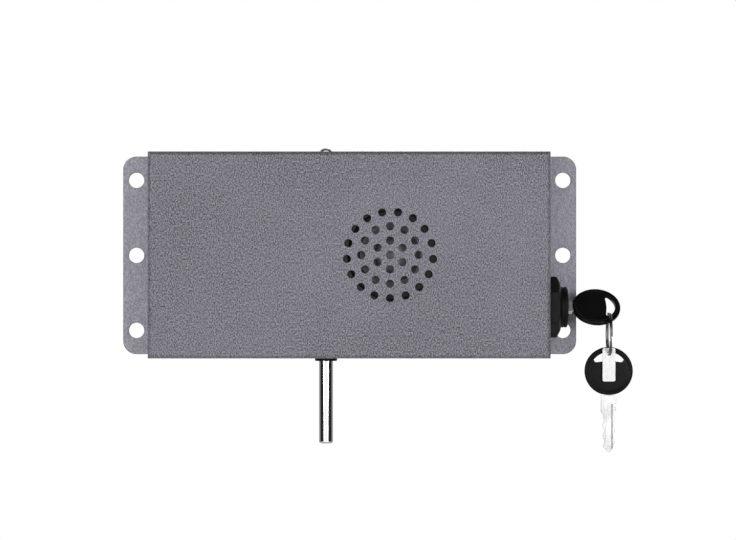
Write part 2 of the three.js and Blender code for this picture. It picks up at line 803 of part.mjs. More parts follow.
// Every lead ends in its own entry of the terminal block.
function intoBlock(index, low) {
  const x = BLOCK.holes[index];
  return [[x, BLOCK.y, low], [x, BLOCK.y, 2], [x, BLOCK.y, 7]];
}

function leads() {
  const batteryLead = lead([
    [-58, -7, 37],
    [-48, -6, 46],
    [-32, -5.6, 50.6],
    [0, -5.6, 50.6],
    [38, -5.6, 50.6],
    [52, -7, 44],
    [53, -9, 25],
    [53, -11, 6],
    [60, -13.5, -3],
    [70, BLOCK.y, -3.4],
    ...intoBlock(0, -1),
  ]);
  const motorLead = lead([
    [-28.6, -8, 6.6],
    [-29.5, -7.6, 20],
    [-28, -8.6, 40],
    [-20, -9.4, 50],
    [0, -9.6, 50.6],
    [30, -9.6, 50.4],
    [46, -11, 42],
    [48.5, -12, 25],
    [49, -13, 4],
    [58, BLOCK.y, -7],
    [73, BLOCK.y, -7],
    ...intoBlock(1, -3),
  ]);
  const sirenLead = lead([
    [42, -21.4, -6],
    [46, -18, -9],
    [58, -15, -10.8],
    [76, BLOCK.y, -10.4],
    ...intoBlock(2, -5),
  ]);
  const switchLead = lead([
    [61.8, -20, -28],
    [56, -19, -24],
    [57, -17, -16.5],
    [66, -15, -14],
    [80, BLOCK.y, -13.6],
    ...intoBlock(3, -7),
  ]);
  return [
    part("battery_lead", batteryLead, FINISH.lead),
    part("motor_lead", motorLead, FINISH.lead),
    part("siren_lead", sirenLead, FINISH.lead),
    part("switch_lead", switchLead, FINISH.lead),
  ];
}

const root = new THREE.Group();
root.name = "alarm_bolt_lock";
root.add(
  ...housing(),
  ...boltMechanism(),
  ...drive(),
  ...siren(),
  ...keySwitch(),
  ...keys(),
  ...battery(),
  ...circuit(),
  ...leads(),
);

export default root;
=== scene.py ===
"""The visible surface of a wall-mounted alarm bolt lock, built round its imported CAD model."""

import json
import math

import bmesh
import bpy
from mathutils import Matrix, Vector


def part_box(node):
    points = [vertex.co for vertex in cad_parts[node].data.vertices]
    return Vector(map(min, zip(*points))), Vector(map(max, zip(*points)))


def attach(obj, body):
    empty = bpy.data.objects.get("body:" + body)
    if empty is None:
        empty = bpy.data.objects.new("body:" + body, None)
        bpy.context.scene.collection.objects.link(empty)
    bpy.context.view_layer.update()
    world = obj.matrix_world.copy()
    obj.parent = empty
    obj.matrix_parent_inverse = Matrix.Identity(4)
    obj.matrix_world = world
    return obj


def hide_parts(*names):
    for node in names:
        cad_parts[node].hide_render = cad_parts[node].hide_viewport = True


MM = 0.001

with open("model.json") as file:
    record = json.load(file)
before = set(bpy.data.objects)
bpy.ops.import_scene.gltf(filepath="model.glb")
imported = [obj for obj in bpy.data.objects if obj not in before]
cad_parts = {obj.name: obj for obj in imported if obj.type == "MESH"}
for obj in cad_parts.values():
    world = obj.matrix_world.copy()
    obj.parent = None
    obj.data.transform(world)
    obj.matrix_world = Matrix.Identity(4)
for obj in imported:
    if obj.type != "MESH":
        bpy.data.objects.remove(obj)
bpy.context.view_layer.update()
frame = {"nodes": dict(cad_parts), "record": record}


# ---------- where things are, from the frame ----------


def middle(node):
    low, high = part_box(node)
    return (low + high) / 2


COVER_LOW, COVER_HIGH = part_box("front_cover")
PLATE_LOW, PLATE_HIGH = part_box("base_plate")
ROD = middle("bolt_rod")
ROD_LOW, ROD_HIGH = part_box("bolt_rod")
SIREN = middle("siren_cone")
GRILLE_X = SIREN.x - 1.8 * MM
LOCK = middle("lock_barrel")
NUT_LOW, NUT_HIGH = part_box("lock_nut")
BARREL_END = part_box("lock_barrel")[1].x
KEY = middle("key_head")
SPARE = middle("spare_key_head")
RING = middle("key_ring")
TAG_LOW, TAG_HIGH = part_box("number_tag")
KEY_TURN = math.radians(-45)
SHEET = 1.5 * MM

# Sizes below are in mm.
PLATE_THICK = 2
FIXING = {"x": 116.5, "z": 41, "radius": 4.2}
GRILLE_HOLES = {"radius": 2.1, "step": 7.65, "counts": (1, 6, 12, 17)}
BEND = 2.0
SCREW_HOLE = 1.75
BUSH_HOLE = 5.3
BARREL_HOLE = 11.25
BARREL_RADIUS = 10.95
PLUG_RADIUS = 6.7
ROD_RADIUS = 4
KEY_TIP = -43.6  # from the head's centre
SHOULDER = -13.1  # where the blade leaves the head, from its centre
TAG_HOLE = {"radius": 1.6, "edge": 3.5}


# ---------- materials ----------


def set_stops(ramp, stops):
    """stops are (position, colour) pairs in rising order."""
    points = ramp.elements
    points[0].position = stops[0][0]
    points[1].position = stops[-1][0]
    for position, _ in stops[1:-1]:
        points.new(position)
    for point, (_, colour) in zip(points, stops):
        point.color = (*colour, 1)


class Shader:
    """A Principled material with helpers that add procedural detail in object space."""

    def __init__(self, name, colour, roughness, metallic=0.0):
        self.material = bpy.data.materials.new(name)
        self.material.use_nodes = True
        self.nodes = self.material.node_tree.nodes
        self.links = self.material.node_tree.links
        self.shader = self.nodes["Principled BSDF"]
        self.shader.inputs["Base Color"].default_value = (*colour, 1)
        self.shader.inputs["Roughness"].default_value = roughness
        self.shader.inputs["Metallic"].default_value = metallic
        self.place = self.nodes.new("ShaderNodeTexCoord").outputs["Object"]

    def stretched(self, scale):
        mapping = self.nodes.new("ShaderNodeMapping")
        mapping.inputs["Scale"].default_value = scale
        self.links.new(self.place, mapping.inputs["Vector"])
        return mapping.outputs["Vector"]

    def noise(self, scale, detail=4.0, roughness=0.5, stretch=None, distortion=0.0):
        node = self.nodes.new("ShaderNodeTexNoise")
        node.inputs["Scale"].default_value = scale
        node.inputs["Detail"].default_value = detail
        node.inputs["Roughness"].default_value = roughness
        node.inputs["Distortion"].default_value = distortion
        self.links.new(self.stretched(stretch) if stretch else self.place, node.inputs["Vector"])
        return node.outputs["Fac"]

    def cells(self, scale, feature="F1"):
        node = self.nodes.new("ShaderNodeTexVoronoi")
        node.feature = feature
        node.inputs["Scale"].default_value = scale
        self.links.new(self.place, node.inputs["Vector"])
        return node.outputs["Distance"]

    def spread(self, value, low, high, from_low=0.3, from_high=0.7):
        node = self.nodes.new("ShaderNodeMapRange")
        node.inputs["From Min"].default_value = from_low
        node.inputs["From Max"].default_value = from_high
        node.inputs["To Min"].default_value = low
        node.inputs["To Max"].default_value = high
        self.links.new(value, node.inputs["Value"])
        return node.outputs["Result"]

    def mix(self, factor, first, second, blend="MIX"):
        node = self.nodes.new("ShaderNodeMix")
        node.data_type = "RGBA"
        node.blend_type = blend
        self.join(factor, node.inputs[0])
        self.join(first, node.inputs[6])
        self.join(second, node.inputs[7])
        return node.outputs[2]

    def join(self, value, socket):
        if isinstance(value, bpy.types.NodeSocket):
            self.links.new(value, socket)
        elif isinstance(value, tuple):
            socket.default_value = (*value, 1)
        else:
            socket.default_value = value

    def sum(self, first, second, weight):
        node = self.nodes.new("ShaderNodeMath")
        node.operation = "MULTIPLY_ADD"
        self.join(second, node.inputs[0])
        node.inputs[1].default_value = weight
        self.join(first, node.inputs[2])
        return node.outputs["Value"]

    def edge_wear(self, radius):
        """1 on sharp edges and 0 on flat faces."""
        bevel = self.nodes.new("ShaderNodeBevel")
        bevel.samples = 4
        bevel.inputs["Radius"].default_value = radius
        geometry = self.nodes.new("ShaderNodeNewGeometry")
        dot = self.nodes.new("ShaderNodeVectorMath")
        dot.operation = "DOT_PRODUCT"
        self.links.new(bevel.outputs["Normal"], dot.inputs[0])
        self.links.new(geometry.outputs["Normal"], dot.inputs[1])
        return self.spread(dot.outputs["Value"], 1.0, 0.0, 0.75, 0.99)

    def painted_crevice_shade(self, reach):
        """Painted shade mask: 1 in grooves and corners narrower than reach, where shade falls, and 0 on
        open faces.
        """
        node = self.nodes.new("ShaderNodeAmbientOcclusion")
        node.samples = 6
        node.only_local = True
        node.inputs["Distance"].default_value = reach
        return self.spread(node.outputs["AO"], 1.0, 0.0, 0.35, 0.9)

    def colour(self, value):
        self.links.new(value, self.shader.inputs["Base Color"])

    def roughness(self, value):
        self.links.new(value, self.shader.inputs["Roughness"])

    def bump(self, height, distance, strength=1.0):
        node = self.nodes.new("ShaderNodeBump")
        node.inputs["Distance"].default_value = distance
        node.inputs["Strength"].default_value = strength
        self.links.new(height, node.inputs["Height"])
        self.links.new(node.outputs["Normal"], self.shader.inputs["Normal"])


def scaled(colour, factor):
    return tuple(factor * c for c in colour)


def textured_paint(name, trough_shade, light, wrinkle, depth):
    """Metallic powder coat: short upright wrinkles of the given width in mm, with finer grain. Its colour
    follows the bump's relief from the dark tone in the troughs to the light tone on the crests, which is
    painted shade and highlight.
    """
    s = Shader(name, light, 0.5, 0.65)
    folds = s.noise(900 / wrinkle, 2.0, 0.55, stretch=(1, 1, 0.6), distortion=0.2)
    grit = s.noise(2600 / wrinkle, 2.0, 0.6)
    patches = s.noise(14, 3.0, 0.5)
    relief = s.sum(s.spread(folds, 0.0, 1.0, 0.36, 0.64), s.spread(grit, -0.5, 0.5), 0.4)
    # Painted shade and highlight: troughs of the relief take the dark tone and crests the light tone.
    body = s.mix(s.spread(relief, 0.0, 1.0, 0.05, 0.95), trough_shade, light)
    s.colour(s.mix(s.spread(patches, 0.0, 0.16), body, scaled(light, 1.25)))
    s.roughness(s.spread(grit, 0.34, 0.56))
    s.bump(relief, depth)
    return s.material


def polished_steel():
    """Drawn and polished bar: fine rings of polish, a few hair scratches."""
    s = Shader("polished_steel", (0.86, 0.86, 0.87), 0.1, 1.0)
    rings = s.noise(60, 3.0, 0.6, stretch=(1, 1, 60))
    hairs = s.noise(900, 1.0, 0.5, stretch=(1, 1, 0.03))
    s.roughness(s.spread(rings, 0.06, 0.13))
    s.colour(s.mix(s.spread(hairs, 0.0, 0.25), (0.88, 0.88, 0.89), (0.7, 0.7, 0.72)))
    s.bump(hairs, 0.000004, 0.4)
    return s.material


def plated_steel(name, colour, roughness=0.3, grain=(1, 1, 12)):
    s = Shader(name, colour, roughness, 1.0)
    brushed = s.noise(350, 4.0, 0.6, stretch=grain)
    cloudy = s.noise(90, 3.0, 0.5)
    worn = s.edge_wear(0.0003)
    shade = s.mix(s.spread(cloudy, 0.0, 0.5), colour, scaled(colour, 0.75))
    s.colour(s.mix(worn, shade, tuple(min(1.0, 1.15 * c) for c in colour)))
    s.roughness(s.spread(brushed, roughness - 0.08, roughness + 0.12))
    s.bump(brushed, 0.00001, 0.5)
    return s.material


def key_steel():
    """Nickel-plated blade: lengthwise brushing, smudges, darker scratches in the plating, and painted
    shade near black in its groove and corners.
    """
    s = Shader("key_steel", (0.6, 0.6, 0.6), 0.4, 0.7)
    brushed = s.noise(420, 4.0, 0.65, stretch=(1, 1, 0.1))
    smudge = s.noise(130, 4.0, 0.65)
    worn = s.edge_wear(0.00025)
    plating = s.mix(s.spread(smudge, 0.0, 1.0), (0.56, 0.56, 0.57), (0.8, 0.8, 0.79))
    streaked = s.mix(s.spread(brushed, 0.0, 0.4, 0.54, 0.68), plating, (0.3, 0.3, 0.31))
    rubbed = s.mix(worn, streaked, (0.88, 0.88, 0.87))
    # Painted shade: grooves and corners go near black.
    s.colour(s.mix(s.painted_crevice_shade(0.0012), rubbed, (0.03, 0.03, 0.032)))
    s.roughness(s.spread(brushed, 0.28, 0.5))
    s.bump(brushed, 0.00003, 0.8)
    return s.material


def moulded_plastic(name, colour, roughness=0.42, gloss=0.16):
    """Satin moulding: faint spark-eroded grain, paler rubbed edges, thin scuffs, and painted shade in its
    grooves and corners.
    """
    s = Shader(name, colour, roughness)
    s.shader.inputs["Specular IOR Level"].default_value = gloss
    grain = s.noise(3200, 2.0, 0.5)
    haze = s.noise(60, 4.0, 0.6)
    scuffs = s.noise(240, 2.0, 0.5, stretch=(1, 8, 1), distortion=1.5)
    worn = s.edge_wear(0.0003)
    base = s.mix(s.spread(haze, 0.0, 1.0), scaled(colour, 0.8), scaled(colour, 1.3))
    scuffed = s.mix(s.spread(scuffs, 0.0, 0.35, 0.62, 0.72), base, scaled(colour, 2.2))
    rubbed = s.mix(worn, scuffed, scaled(colour, 2.4))
    # Painted shade: grooves and corners darken to a third of the colour.
    s.colour(s.mix(s.painted_crevice_shade(0.001), rubbed, scaled(colour, 0.3)))
    s.roughness(s.spread(haze, roughness - 0.06, roughness + 0.1))
    s.bump(grain, 0.00001, 0.35)
    return s.material


def rubber(name, colour):
    s = Shader(name, colour, 0.75)
    dust = s.noise(120, 5.0, 0.7)
    s.colour(s.mix(s.spread(dust, 0.0, 0.4), colour, tuple(c + 0.03 for c in colour)))
    s.roughness(s.spread(dust, 0.65, 0.9))
    s.bump(s.noise(1800, 2.0), 0.00002, 0.4)
    return s.material


def pressed_film(name, colour):
    """Pressed speaker film with a soft satin skin."""
    s = Shader(name, colour, 0.45)
    mottled = s.noise(110, 4.0, 0.6)
    s.colour(s.mix(s.spread(mottled, 0.0, 1.0), scaled(colour, 0.8), scaled(colour, 1.2)))
    s.roughness(s.spread(mottled, 0.38, 0.55))
    s.bump(s.noise(900, 2.0), 0.00002, 0.4)
    return s.material


def circuit_board():
    """Green solder mask with paler tracks and a mottled ground plane."""
    s = Shader("circuit_board", (0.01, 0.09, 0.035), 0.35)
    tracks = s.cells(260, "DISTANCE_TO_EDGE")
    weave = s.noise(1400, 2.0)
    s.colour(s.mix(s.spread(tracks, 1.0, 0.0, 0.03, 0.06), (0.012, 0.1, 0.04), (0.03, 0.2, 0.08)))
    s.roughness(s.spread(weave, 0.28, 0.45))
    s.bump(tracks, 0.00002, 0.3)
    return s.material


def coloured_plastic(name, colour, roughness):
    s = Shader(name, colour, roughness)
    haze = s.noise(80, 4.0, 0.6)
    s.colour(s.mix(s.spread(haze, 0.0, 1.0), scaled(colour, 0.85), scaled(colour, 1.15)))
    s.roughness(s.spread(haze, roughness - 0.05, roughness + 0.1))
    s.bump(s.noise(2400, 2.0), 0.00001, 0.3)
    return s.material


def satin_tag():
    """Bright satin metal tag with a fine tumbled surface."""
    s = Shader("satin_tag", (0.86, 0.86, 0.86), 0.38, 0.35)
    tumbled = s.noise(700, 4.0, 0.6)
    s.colour(s.mix(s.spread(tumbled, 0.0, 1.0), (0.66, 0.66, 0.67), (0.8, 0.8, 0.8)))
    s.roughness(s.spread(tumbled, 0.3, 0.48))
    s.bump(tumbled, 0.00002, 0.4)
    return s.material


def pale_floor():
    s = Shader("pale_floor", (0.95, 0.95, 0.95), 0.7)
    s.colour(s.mix(s.spread(s.noise(3, 3.0), 0.0, 1.0), (0.94, 0.94, 0.94), (0.96, 0.96, 0.96)))
    return s.material


# Each paint's first colour is painted shade for its wrinkles' troughs and its second the lit crest
# colour.
PAINT = textured_paint("housing_paint", (0.064, 0.062, 0.075), (0.4, 0.39, 0.442), 0.5, 0.0002)
PLATE_PAINT = textured_paint("plate_paint", (0.14, 0.136, 0.158), (0.27, 0.263, 0.3), 0.5, 0.00005)
POLISHED = polished_steel()
ZINC = plated_steel("zinc_steel", (0.62, 0.63, 0.66))
CAST = plated_steel("cast_zinc", (0.5, 0.5, 0.52), 0.45, (1, 1, 1))
BRASS = plated_steel("brass", (0.62, 0.46, 0.2), 0.3, (1, 1, 8))
RING_STEEL = plated_steel("ring_steel", (0.26, 0.255, 0.25), 0.24, (1, 1, 1))
KEY_STEEL = key_steel()
BLACK = moulded_plastic("black_plastic", (0.005, 0.005, 0.0055), 0.42, 0.12)
KEY_BLACK = moulded_plastic("key_plastic", (0.004, 0.004, 0.0045), 0.34, 0.11)
BLACK_METAL = moulded_plastic("black_metal", (0.015, 0.015, 0.017), 0.35)
RUBBER = rubber("black_rubber", (0.006, 0.006, 0.006))
FERRITE = rubber("ferrite", (0.04, 0.04, 0.042))
CONE = pressed_film("cone_film", (0.13, 0.13, 0.14))
# Paler copy of the cone film for the dust cap: painted light on the shaded centre of the siren.
PAINTED_LIGHT_CAP_FILM = pressed_film("cap_film_painted_light", (0.28, 0.28, 0.295))
BOARD = circuit_board()
BLUE = coloured_plastic("blue_plastic", (0.03, 0.115, 0.32), 0.35)
WRAP = coloured_plastic("cell_wrap", (0.05, 0.2, 0.3), 0.3)
LEAD = coloured_plastic("lead_sheath", (0.26, 0.015, 0.015), 0.5)
NYLON = coloured_plastic("nylon", (0.72, 0.71, 0.65), 0.45)
TAG = satin_tag()

SLOT_MATERIALS = {
    "housing_paint": PAINT,
    "plate_paint": PLATE_PAINT,
    "polished_steel": POLISHED,
    "zinc_steel": ZINC,
    "cast_zinc": CAST,
    "black_plastic": BLACK,
    "black_metal": BLACK_METAL,
    "black_rubber": RUBBER,
    "brass": BRASS,
    "ferrite": FERRITE,
    "cone_film": CONE,
    "key_plastic": KEY_BLACK,
    "key_steel": KEY_STEEL,
    "ring_steel": RING_STEEL,
    "tag_metal": TAG,
    "cell_wrap": WRAP,
    "circuit_board": BOARD,
    "blue_plastic": BLUE,
    "lead_sheath": LEAD,
    "nylon": NYLON,
}


# ---------- shapes ----------


def mesh_object(name, vertices, faces):
    mesh = bpy.data.meshes.new(name)
    mesh.from_pydata([tuple(v) for v in vertices], [], faces)
    bm = bmesh.new()
    bm.from_mesh(mesh)
    bmesh.ops.remove_doubles(bm, verts=bm.verts, dist=1e-7)
    bmesh.ops.recalc_face_normals(bm, faces=bm.faces)
    bm.to_mesh(mesh)
    bm.free()
    obj = bpy.data.objects.new(name, mesh)
    bpy.context.scene.collection.objects.link(obj)
    return obj


AXES = {
    "x": Matrix(((0, 0, 1), (1, 0, 0), (0, 1, 0))),
    "y": Matrix(((0, 1, 0), (0, 0, 1), (1, 0, 0))),
    "z": Matrix(((1, 0, 0), (0, 1, 0), (0, 0, 1))),
}


def lathe(name, axis, centre, profile, sides=96):
    """Turns a closed loop, or an open line whose ends are on the axis, of (radius, along) in mm."""
    vertices = []
    for i in range(sides):
        turn = 2 * math.pi * i / sides
        for radius, along in profile:
            local = Vector((radius * math.cos(turn), radius * math.sin(turn), along)) * MM
            vertices.append(centre + AXES[axis] @ local)
    count = len(profile)
    open_line = profile[0][0] == 0 and profile[-1][0] == 0
    spans = count - 1 if open_line else count
    faces = []
    for i in range(sides):
        j = (i + 1) % sides
        for k in range(spans):
            m = (k + 1) % count
            corners = [i * count + k, j * count + k, j * count + m, i * count + m]
            if profile[k][0] == 0:
                corners.remove(j * count + k)
            if profile[m][0] == 0:
                corners.remove(j * count + m)
            if len(corners) > 2:
                faces.append(corners)
    return mesh_object(name, vertices, faces)


def prism(name, outline, low, high, centre=Vector((0, 0, 0))):
    """A flat outline of (x, z) in mm, made solid from y low to y high in mm."""
    count = len(outline)
    vertices = [centre + Vector((x, y, z)) * MM for y in (low, high) for x, z in outline]
    faces = [list(range(count)), list(range(2 * count - 1, count - 1, -1))]
    faces += [[k, (k + 1) % count, count + (k + 1) % count, count + k] for k in range(count)]
    return mesh_object(name, vertices, faces)


def block(name, low, high):
    """A box between two corners in metres."""
    vertices = [(x, y, z) for x in (low.x, high.x) for y in (low.y, high.y) for z in (low.z, high.z)]
    faces = [(0, 1, 3, 2), (4, 6, 7, 5), (0, 4, 5, 1), (2, 3, 7, 6), (0, 2, 6, 4), (1, 5, 7, 3)]
    return mesh_object(name, vertices, faces)


def apply_modifiers(obj):
    graph = bpy.context.evaluated_depsgraph_get()
    mesh = bpy.data.meshes.new_from_object(obj.evaluated_get(graph))
    obj.modifiers.clear()
    obj.data = mesh


def bevel_where(obj, chosen, width, segments, profile=0.5):
    """Rounds the edges for which chosen(first corner, second corner) is true."""
    bm = bmesh.new()
    bm.from_mesh(obj.data)
    edges = [e for e in bm.edges if chosen(e.verts[0].co, e.verts[1].co)]
    bmesh.ops.bevel(bm, geom=edges, offset=width, segments=segments, profile=profile, affect="EDGES")
    bm.to_mesh(obj.data)
    bm.free()


def merged(name, parts):
    """One object out of several, which are used up."""
    bm = bmesh.new()
    for obj in parts:
        bm.from_mesh(obj.data)
        bpy.data.objects.remove(obj)
    mesh = bpy.data.meshes.new(name)
    bm.to_mesh(mesh)
    bm.free()
    joined = bpy.data.objects.new(name, mesh)
    bpy.context.scene.collection.objects.link(joined)
    return joined


def cut(obj, tools):
    """Cuts the tools, which may not overlap each other, out of obj."""
    tool = merged("tool", tools)
    modifier = obj.modifiers.new("cut", "BOOLEAN")
    modifier.operation = "DIFFERENCE"
    modifier.solver = "EXACT"
    modifier.object = tool
    apply_modifiers(obj)
    bpy.data.objects.remove(tool)


def soften(obj, width, segments=2, angle=40):
    """Rounds every edge sharper than the angle a little, as paint, moulding or tumbling does."""
    modifier = obj.modifiers.new("soften", "BEVEL")
    modifier.width = width * MM
    modifier.segments = segments
    modifier.limit_method = "ANGLE"
    modifier.angle_limit = math.radians(angle)
    modifier.harden_normals = False
    modifier.use_clamp_overlap = True
    apply_modifiers(obj)


def finished(obj, body, slot, nodes=(), sharp=35):
    """Shades, paints and places a piece, and hides the CAD nodes it stands for."""
    for polygon in obj.data.polygons:
        polygon.use_smooth = True
    obj.data.set_sharp_from_angle(angle=math.radians(sharp))
    weighted = obj.modifiers.new("weighted", "WEIGHTED_NORMAL")
    weighted.keep_sharp = True
    apply_modifiers(obj)
    obj.data.materials.clear()
    obj.data.materials.append(SLOT_MATERIALS[slot])
    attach(obj, body)
    if nodes:
        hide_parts(*nodes)
    return obj


def arc(cx, cz, radius, start, end, steps):
    turns = [math.radians(start + (end - start) * i / steps) for i in range(steps + 1)]
    return [(cx + radius * math.cos(a), cz + radius * math.sin(a)) for a in turns]


def rounded(width, height, radius, steps=12):
    """A rectangle's outline with round corners."""
    w, h = width / 2 - radius, height / 2 - radius
    corners = [(w, h, 0), (-w, h, 90), (-w, -h, 180), (w, -h, 270)]
    return [point for x, z, start in corners for point in arc(x, z, radius, start, start + 90, steps)]


# ---------- housing ----------


def hole_tool(x, z, radius, low, high, lip=0.28):
    """A hole along Y between two places in mm, opened by a small round lip at both faces."""
    profile = [
        (0, low - 1),
        (radius + lip, low - 1),
        (radius + lip, low),
        (radius + lip * 0.35, low + lip * 0.35),
        (radius, low + lip),
        (radius, high - lip),
        (radius + lip, high),
        (radius + lip, high + 1),
        (0, high + 1),
    ]
    return lathe("hole", "y", Vector((x, 0, z)), profile, 40)


def grille_holes():
    """Four rings of holes; the outer ring starts at the bottom and the others at the top."""
    tools = []
    face = COVER_LOW.y / MM
    counts = GRILLE_HOLES["counts"]
    for level, count in enumerate(counts):
        first = -90 if level == len(counts) - 1 else 90
        for i in range(count):
            turn = math.radians(first + 360 * i / count)
            out = GRILLE_HOLES["step"] * level * MM
            x, z = GRILLE_X + out * math.cos(turn), out * math.sin(turn)
            tools.append(hole_tool(x, z, GRILLE_HOLES["radius"], face, face + SHEET / MM))
    return tools


def cover_skin():
    """The folded housing: front edges with a flattened bend, and a hollow behind."""
    skin = block("cover_skin", COVER_LOW, COVER_HIGH)
    front = COVER_LOW.y + 1e-6
    bevel_where(skin, lambda a, b: a.y < front and b.y < front, BEND * MM, 8, 0.36)
    inner_low = COVER_LOW + Vector((SHEET, SHEET, SHEET))
    inner_high = COVER_HIGH + Vector((-SHEET, 5 * MM, -SHEET))
    cut(skin, [block("hollow", inner_low, inner_high)])
    side = Vector((COVER_HIGH.x, LOCK.y, LOCK.z))
    bottom = Vector((ROD.x, ROD.y, COVER_LOW.z))
    top = Vector((ROD.x, ROD.y, COVER_HIGH.z))
    through = [(0, -4), (1, -4), (1, 4), (0, 4)]
    holes = [
        lathe("hole", "x", side, [(BARREL_HOLE * r, a) for r, a in through], 64),
        lathe("hole", "z", bottom, [(BUSH_HOLE * r, a) for r, a in through], 48),
        lathe("hole", "z", top, [(SCREW_HOLE * r, a) for r, a in through], 24),
    ]
    cut(skin, grille_holes() + holes)
    return finished(skin, "housing", "housing_paint", ["front_cover"], 30)


def fixing_holes():
    tools = []
    for sx in (-1, 1):
        for sz in (-1, 0, 1):
            x, z = sx * FIXING["x"] * MM, sz * FIXING["z"] * MM
            tools.append(hole_tool(x, z, FIXING["radius"], -PLATE_THICK, 0, 0.3))
    return tools


def base_screws():
    """The name of each countersunk screw and where its axis meets the wall."""
    names = [f"base_screw_{n + 1}" for n in range(4)]
    return [(name, Vector((middle(name).x, 0, middle(name).z))) for name in names]


def plate_skin():
    """The base plate with its round-cornered flanges, six fixing holes and four sunk holes."""
    width = (PLATE_HIGH.x - PLATE_LOW.x) / MM
    height = (PLATE_HIGH.z - PLATE_LOW.z) / MM
    corner = 7.3
    plate = prism("plate_skin", rounded(width, height, corner), -PLATE_THICK, 0)
    soften(plate, 0.3, 3, 60)
    cut(plate, fixing_holes())
    sink = [(0, -3), (SCREW_HOLE, -3), (SCREW_HOLE, -1.7), (3.25, -0.25), (3.25, 1), (0, 1)]
    cut(plate, [lathe("sink", "y", at, sink, 40) for _, at in base_screws()])
    return finished(plate, "housing", "plate_paint", ["base_plate"], 35)


def sunk_screws():
    """Countersunk screws in the back of the base plate, with cross recesses."""
    shank = [(0, -6.5), (1.0, -6.5), (1.4, -6.1), (1.4, -1.9)]
    head = [(2.75, -0.45), (2.9, -0.35), (2.85, -0.2), (0, -0.2)]
    long, narrow, deep = 1.4, 0.25, 1.3
    for number, (name, at) in enumerate(base_screws(), 1):
        screw = lathe(f"back_screw_{number}", "y", at, shank + head, 48)
        for x, z in ((long, narrow), (narrow, long)):
            slot = block("slot", at + Vector((-x, -deep, -z)) * MM, at + Vector((x, 1, z)) * MM)
            cut(screw, [slot])
        finished(screw, "housing", "zinc_steel", [name])


def dome_screw():
    """The round-headed screw on the top face, with a hexagon socket."""
    top = COVER_HIGH.z / MM
    centre = Vector((ROD.x, ROD.y, 0))
    shank, radius, base, rise = 1.4, 3.3, top + 0.9, 1.8
    rim = [(shank, top + 0.1), (radius - 0.2, top + 0.1), (radius, top + 0.3), (radius, base)]
    steps = [math.radians(a) for a in range(9, 90, 9)]
    dome = [(radius * math.cos(a), base + rise * math.sin(a)) for a in steps]
    profile = [(0, top - 5.4), (shank, top - 5.4)] + rim + dome + [(0, base + rise)]
    screw = lathe("top_screw_head", "z", centre, profile, 64)
    key_size = 1.1
    recess = [(0, top + 1.5), (key_size, top + 1.5), (key_size, top + 4), (0, top + 4)]
    socket = lathe("socket", "z", centre, recess, 6)
    cut(screw, [socket])
    return finished(screw, "housing", "zinc_steel", ["top_screw"])


# ---------- bolt ----------


def bolt_bar():
    """The polished bar, chamfered at its tip."""
    low, high = ROD_LOW.z / MM, ROD_HIGH.z / MM
    profile = [
        (0, low),
        (2.9, low),
        (3.15, low + 0.06),
        (3.9, low + 0.72),
        (ROD_RADIUS, low + 0.95),
        (ROD_RADIUS, low + 1.3),
        (ROD_RADIUS, high - 0.8),
        (ROD_RADIUS, high - 0.4),
        (ROD_RADIUS - 0.4, high),
        (0, high),
    ]
    bar = lathe("bolt_bar", "z", Vector((ROD.x, ROD.y, 0)), profile, 128)
    return finished(bar, "bolt", "polished_steel", ["bolt_rod"], 25)


def bush_collar():
    """The black bush whose flange shows under the housing."""
    low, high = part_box("bolt_bush")
    bottom, top = low.z / MM, high.z / MM
    seat = COVER_LOW.z / MM - 0.15
    bore, sleeve, flange = ROD_RADIUS + 0.2, 5, 6
    profile = [
        (bore, bottom + 0.15),
        (bore + 0.15, bottom),
        (flange - 0.25, bottom),
        (flange, bottom + 0.25),
        (flange, seat),
        (sleeve, seat),
        (sleeve, top),
        (bore, top),
    ]
    collar = lathe("bush_collar", "z", Vector((ROD.x, ROD.y, 0)), profile, 96)
    return finished(collar, "housing", "black_plastic", ["bolt_bush"])


# ---------- siren ----------


def siren_diaphragm():
    """The pressed cone with two ripples and its voice coil, and the dust cap on it in a paler copy of the
    film, painted light that brightens the centre where the surround leaves it in shade.
    """
    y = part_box("siren_cone")[0].y / MM
    profile = [
        (0, y + 5.0),
        (6.6, y + 5.2),
        (7.2, y + 5.1),
        (9.5, y + 3.9),
        (10.4, y + 3.2),
        (11.2, y + 3.2),
        (13.6, y + 2.0),
        (14.4, y + 1.3),
        (15.2, y + 1.3),
        (17.8, y),
        (17.8, y + 0.8),
        (11.4, y + 4.0),
        (6.8, y + 6.2),
        (6.8, y + 12.2),
        (6.2, y + 12.2),
        (6.2, y + 6),
        (0, y + 4),
    ]
    cone = lathe("siren_diaphragm", "y", Vector((SIREN.x, 0, 0)), profile, 96)
    finished(cone, "cone", "cone_film", ["siren_cone"])
    radius, rise, seat = 9.3, 2.6, y + 4.3
    steps = [math.radians(a) for a in range(9, 91, 9)]
    dome = [(radius * math.sin(a), seat - rise * math.cos(a)) for a in steps]
    profile = [(0, seat - rise)] + dome + [(radius, seat + 0.3), (0, seat + 0.3)]
    cap = lathe("dust_cap", "y", Vector((SIREN.x, 0, 0)), profile, 96)
    # The paler film on the cap is painted light.
    finished(cap, "cone", "cone_film").data.materials[0] = PAINTED_LIGHT_CAP_FILM


def siren_roll():
    """The half-round roll that carries the cone's edge."""
    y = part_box("siren_surround")[0].y / MM
    inner, outer, roll_radius = 18.1, 23.6, 2.0
    seat, back = y + 0.9, y + 1.4
    crown = arc((inner + outer) / 2, seat, roll_radius, 180, 0, 14)
    front = [(r, max(2 * seat - a, y)) for r, a in crown]
    profile = [(inner, seat)] + front + [(outer, seat), (outer, back), (inner, back)]
    roll = lathe("siren_roll", "y", Vector((SIREN.x, 0, 0)), profile, 96)
    return finished(roll, "housing", "black_rubber", ["siren_surround"])


# ---------- key switch ----------


